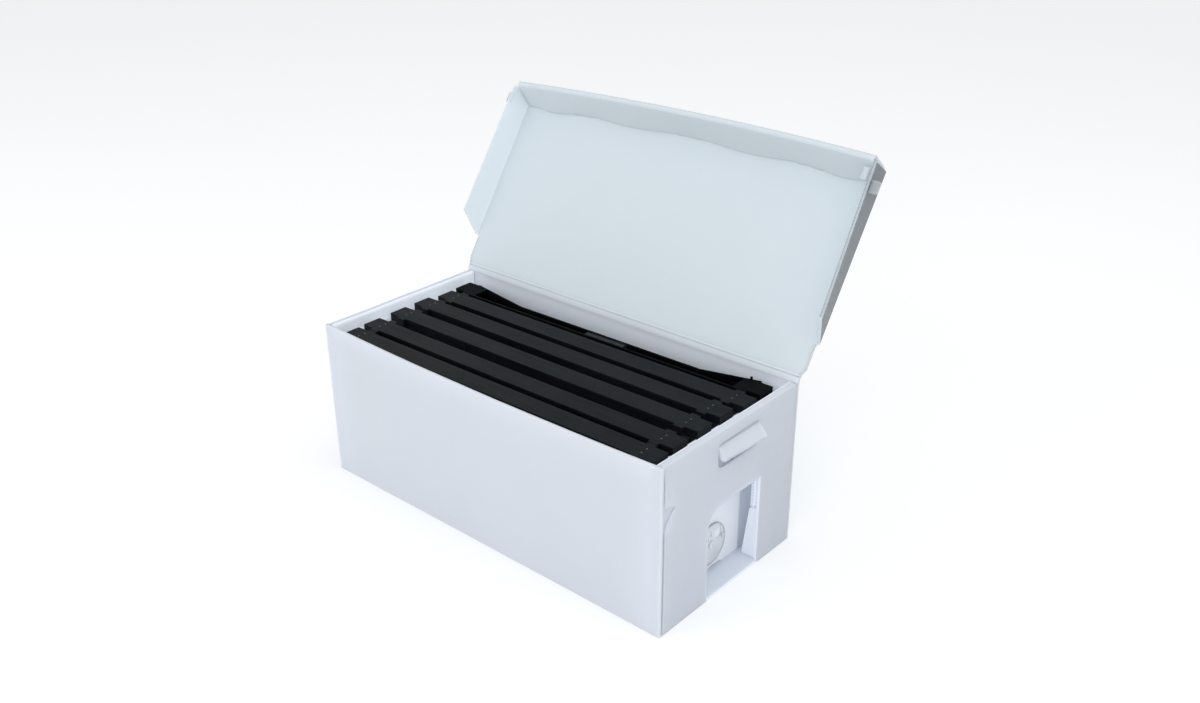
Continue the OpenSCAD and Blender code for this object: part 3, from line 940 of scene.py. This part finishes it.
# Corner tabs that poke out through the ears
TAB_DROP, TAB_CUT = 24, 1.5
tabs = []
for x0, x1, y0, y1 in ((-286, -276.5, -119, -104), (272.5, 285.5, -108, -94), (258.5, 269, -121, -107)):
    cx0, cx1, cy0, cy1 = x0 + TAB_CUT, x1 - TAB_CUT, y0 + TAB_CUT, y1 - TAB_CUT
    loop = [(x0, cy0), (cx0, y0), (cx1, y0), (x1, cy0), (x1, cy1), (cx1, y1), (cx0, y1), (x0, cy1)]
    part = twin_wall([loop], BOARD, 0, 30.0)
    for v in part.verts:
        v.co = SWING @ Vector((v.co.x, v.co.y, LID_UNDER - TAB_DROP - BOARD / 2 + v.co.z))
    tabs.append(part)
bm = merged(*tabs)
obj = piece("lid_corner_tabs", bm, "lid_board", "lid", ["apron_tabs"])
# painted shade on the corner tabs by the near ear
mark(obj, "shade", lambda c, n: TAB_PAINTED_SHADE if c.x > HALF_L + 5 else 0.0)


# Hinge: the board crushed to a thin web along the crease, from the back wall to the lid
def bend(a, b, c, n=6):
    """Points of the curve from a to c that leaves and arrives along its control point b."""
    return [a * (1 - t) ** 2 + b * (2 * t * (1 - t)) + c * t * t for t in [i / n for i in range(n + 1)]]


PROUD, SUNK = 0.12, -0.3  # the web's faces lie proud of the boards, and its ends run into them


def web_ring(x):
    """The web's cross-section at x: from inside the back wall, bent over to the lid, and back outside."""

    def wall(z, side, lap):
        return back_place(Vector((x, z, side * (BOARD / 2 + lap))))

    def lid(back, z):
        return lid_place(x, LID_BACK - back, z)

    start, stop = wall(BOX_H - 2, 1, PROUD), lid(2.5, LID_UNDER - PROUD)
    inner = bend(start, Vector((x, start.y + 0.3, BOX_H + 2.8)), stop)
    inner = [wall(BOX_H - 4.5, 1, SUNK), *inner, lid(5.5, LID_UNDER - SUNK)]
    start, stop = wall(BOX_H - 0.5, -1, PROUD), lid(0.2, LID_UNDER + BOARD + PROUD)
    outer = bend(start, Vector((x, start.y + 0.1, BOX_H + 2.2)), stop)
    outer = [wall(BOX_H - 2.5, -1, SUNK), *outer, lid(2.4, LID_UNDER + BOARD + SUNK)]
    return inner + outer[::-1]


bm = bmesh.new()
n_x = 120
half = HALF_L - 0.3
rows = [[bm.verts.new(p) for p in web_ring(half * (2 * i / n_x - 1))] for i in range(n_x + 1)]
for a, b in zip(rows, rows[1:]):
    for k in range(len(a)):
        j = (k + 1) % len(a)
        bm.faces.new((a[k], a[j], b[j], b[k]))
bm.faces.new(rows[0][::-1])
bm.faces.new(rows[-1])
note_board(bm, (2, 0, 1))
obj = piece("hinge_web", bm, "box_board", None, ["lid_crease"], angle=60, material=MAT["hinge_web"])
# painted glow on the hinge web's inner face
mark(obj, "inside", lambda c, n: WEB_PAINTED_GLOW if n.y < -0.2 else 0.0)
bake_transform(obj)


# ---------------------------------------------------------------- frames and feeder


def frame_matrix(node):
    lo, hi = box_mm(node)
    centre = (lo + hi) / 2
    return Matrix.Translation(Vector((centre.x, centre.y, FRAME_TOP))) @ Matrix.Rotation(YAW, 4, "Z")


BAR_W, BAR_T, LUG_T, BAR_X, LUG_X = 26.0, 14.0, 10.0, 224.0, 241.0
FRAME_DEPTH = 184
PANEL_STEP, PANEL_LOW, PANEL_HIGH = 52.75, -11.5, -3.5  # the recessed panels along a top bar
PANEL_END = 4 * PANEL_STEP
LOW_STEP = 53  # and along the bottom bar and the foundation
LUG_NARROW = 12.5 / 13


def frame_piece(i, part, bm, slot="frame_plastic", round_mm=0.0):
    bm.transform(frame_matrix(f"top_bar_{i}"))
    piece(f"frame_{i}_{part}", bm, slot, f"frame_{i}", [f"{part}_{i}"], round_mm=round_mm)


def lies_in(face, x0, x1, y0, y1):
    m = face.calc_center_median()
    return x0 < m.x < x1 and y0 < m.y < y1


def recess(bm, faces, thickness, depth):
    """Sinks one panel, made of all these faces, with a margin around it."""
    panel = bmesh.ops.dissolve_faces(bm, faces=faces, use_verts=False)["region"]
    bmesh.ops.inset_region(bm, faces=panel, thickness=thickness, depth=depth, use_even_offset=False)


def top_bar(i):
    under = [(-LUG_X, -LUG_T), (-BAR_X, -LUG_T), (-BAR_X, -BAR_T), (BAR_X, -BAR_T), (BAR_X, -LUG_T),
             (LUG_X, -LUG_T)]
    bm = slab([under + [(LUG_X, 0), (-LUG_X, 0)]], BAR_W)
    ribs = [(k - 3) * PANEL_STEP for k in range(7)]
    slice_mesh(bm, 0, [-PANEL_END, *ribs, PANEL_END, -BAR_X, BAR_X])
    slice_mesh(bm, 1, [PANEL_LOW, PANEL_HIGH])
    bmesh.ops.dissolve_limit(bm, angle_limit=0.01, verts=bm.verts[:], edges=[])
    bm.normal_update()
    groups = {}
    for f in bm.faces:
        m = f.calc_center_median()
        if abs(f.normal.z) > 0.9 and abs(m.x) < PANEL_END and PANEL_LOW < m.y < PANEL_HIGH:
            groups.setdefault((round((m.x + PANEL_END) // PANEL_STEP), m.z > 0), []).append(f)
    for faces in groups.values():
        bmesh.ops.inset_region(bm, faces=faces, thickness=1.1, depth=-0.35, use_even_offset=False)
    for v in bm.verts:
        u, w, n = v.co
        if abs(u) > BAR_X + 0.5:
            n *= LUG_NARROW
        dip = -0.25 * math.exp(-((u / 120) ** 2)) if w > -1 else 0.0
        v.co = Vector((u, n, w + dip))
    frame_piece(i, "top_bar", bm, round_mm=0.7)


def end_bars(i):
    parts = []
    for k in (-1, 1):
        half = [(17, 0), (17, -60), (15.5, -66), (12.5, -72), (12.5, -FRAME_DEPTH), (4, -FRAME_DEPTH),
                (4, 3 - FRAME_DEPTH)]
        mouth = [(-13.05, 0), (-13.05, -14.05), (13.05, -14.05), (13.05, 0)]
        loop = [(-17, 0), *mouth, *half, *[(-y, z) for y, z in reversed(half[1:])]]
        bm = slab([loop], 12.0)
        slice_mesh(bm, 1, [-19, -58, -76, -110, -144, -178])
        slice_mesh(bm, 0, [-9.5, 0, 9.5])
        bm.normal_update()
        for side in (-1, 1):
            for z0, z1 in ((-58, -19), (-110, -76), (-144, -110), (-178, -144)):
                for y0, y1 in ((-9.5, 0), (0, 9.5)):
                    faces = [f for f in bm.faces if f.normal.z * side > 0.9 and lies_in(f, y0, y1, z0, z1)]
                    if faces:
                        recess(bm, faces, 1.0, -1.4)
        for v in bm.verts:
            v.co = Vector((k * (BAR_X - 6 + v.co.z), v.co.x, v.co.y))
        if k < 0:
            bmesh.ops.reverse_faces(bm, faces=bm.faces[:])
        parts.append(bm)
    frame_piece(i, "end_bars", merged(*parts), round_mm=0.5)


def bottom_bar(i):
    inner, low, high = BAR_X - 12, -FRAME_DEPTH, 9 - FRAME_DEPTH
    bm = slab([[(-inner, low), (inner, low), (inner, high), (-inner, high)]], 25.0)
    slice_mesh(bm, 0, [k * LOW_STEP for k in range(-3, 4)])
    bm.normal_update()
    for k in range(-4, 4):
        for side in (-1, 1):
            x0, x1 = k * LOW_STEP, (k + 1) * LOW_STEP
            faces = [f for f in bm.faces if f.normal.z * side > 0.9 and lies_in(f, x0, x1, low, high)]
            recess(bm, faces, 1.2, -1.2)
    for v in bm.verts:
        v.co = Vector((v.co.x, v.co.z, v.co.y))
    frame_piece(i, "bottom_bar", bm, round_mm=0.5)


def foundation(i):
    """Comb foundation: a sheet with a plain border, its embossed field raised in a shallow cushion."""
    inner, low, high = BAR_X - 12, 9 - FRAME_DEPTH, -BAR_T
    bm = slab([[(-inner, low), (inner, low), (inner, high), (-inner, high)]], 2.2)
    slice_mesh(bm, 0, [k * LOW_STEP for k in range(-3, 4)])
    slice_mesh(bm, 1, [-121.3, -67.7])
    bm.normal_update()
    for side in (-1, 1):
        faces = [f for f in bm.faces if f.normal.z * side > 0.9]
        bmesh.ops.inset_region(bm, faces=faces, thickness=5.0, depth=0.0, use_even_offset=True)
        bmesh.ops.inset_region(bm, faces=faces, thickness=0.8, depth=0.5, use_even_offset=True)
    for v in bm.verts:
        v.co = Vector((v.co.x, v.co.z, v.co.y))
    frame_piece(i, "foundation", bm, "foundation_plastic")


for i in range(1, 6):
    top_bar(i)
    end_bars(i)
    bottom_bar(i)
    foundation(i)


def dress(node, slot, round_mm=0.0):
    """A CAD node that keeps its shape: welded, its edges rounded, and given its material."""
    obj = frame["nodes"][node]
    obj.data.materials.clear()
    obj.data.materials.append(MAT[slot])
    if round_mm:
        weld = obj.modifiers.new("weld", "WELD")
        weld.merge_threshold = 1e-5
        bevel = obj.modifiers.new("round", "BEVEL")
        bevel.width, bevel.segments = round_mm * MM, 2
        bevel.limit_method, bevel.angle_limit = "ANGLE", math.radians(35)


for i in range(1, 6):
    dress(f"pins_{i}", "pin_steel")
dress("feeder_body", "feeder_plastic", 0.8)

# The feeder's brace: a strip across its mouth with three sunk panels
BRIDGE_T = 5.5
lo, hi = box_mm("feeder_brace")
third = (hi.x - lo.x) / 3
bm = slab([[(lo.x, lo.y), (hi.x, lo.y), (hi.x, hi.y), (lo.x, hi.y)]], BRIDGE_T)
slice_mesh(bm, 0, [lo.x + third, lo.x + 2 * third])
bm.normal_update()
for k in range(3):
    x0 = lo.x + k * third
    faces = [f for f in bm.faces if f.normal.z > 0.9 and lies_in(f, x0, x0 + third, lo.y, hi.y)]
    recess(bm, faces, 1.4, -0.6)
shape(bm, lambda co: co + Vector((0, 0, FRAME_TOP - 0.6 - BRIDGE_T / 2)))
piece("feeder_bridge", bm, "feeder_plastic", "feeder", ["feeder_brace"], material=MAT["feeder_brace"],
      round_mm=0.5)


# ---------------------------------------------------------------- studio

floor = bmesh.new()
bmesh.ops.create_grid(floor, x_segments=24, y_segments=24, size=30.0)
mesh = bpy.data.meshes.new("studio_floor")
floor.to_mesh(mesh)
floor.free()
ground = bpy.data.objects.new("studio_floor", mesh)
bpy.context.scene.collection.objects.link(ground)
mesh.materials.append(floor_material())
ground.location.z = -0.0004

scene = bpy.context.scene
world = bpy.data.worlds.new("studio")
world.use_nodes = True
world.node_tree.nodes["Background"].inputs["Color"].default_value = (0.97, 0.985, 1.0, 1.0)
world.node_tree.nodes["Background"].inputs["Strength"].default_value = 0.74
scene.world = world
scene.view_settings.view_transform = "Standard"
scene.view_settings.look = "None"


def area_light(name, place, target, size, power, colour=(1, 1, 1)):
    data = bpy.data.lights.new(name, "AREA")
    data.shape, data.size, data.energy, data.color = "DISK", size, power, colour
    obj = bpy.data.objects.new(name, data)
    scene.collection.objects.link(obj)
    obj.location = place
    obj.rotation_mode = "QUATERNION"
    obj.rotation_quaternion = (Vector(target) - Vector(place)).to_track_quat("-Z", "Y")


area_light("soft_top", (0.9, 0.5, 2.3), (0, 0, 0.1), 2.0, 9)
area_light("soft_front_left", (-1.6, -2.2, 1.5), (0, 0, 0.15), 1.8, 13, (1.0, 0.985, 1.0))
area_light("soft_fill", (0.8, -1.15, 1.05), (0, 0, 0.15), 0.9, 3)

camera_data = bpy.data.cameras.new("camera")
camera = bpy.data.objects.new("camera", camera_data)
scene.collection.objects.link(camera)
scene.camera = camera
camera_data.sensor_width = 36.0
camera_data.lens = 36.33
camera_data.clip_start, camera_data.clip_end = 0.02, 60.0
# Its place, its heading from +X, its tilt above level and its roll
CAMERA_AT, HEADING, TILT, ROLL = (0.88558, -0.92367, 0.81769), 131.167, -25.607, -0.264
camera.matrix_world = (
    Matrix.Translation(CAMERA_AT) @ Matrix.Rotation(math.radians(HEADING - 90), 4, "Z")
    @ Matrix.Rotation(math.radians(90 + TILT), 4, "X") @ Matrix.Rotation(math.radians(ROLL), 4, "Z")
)
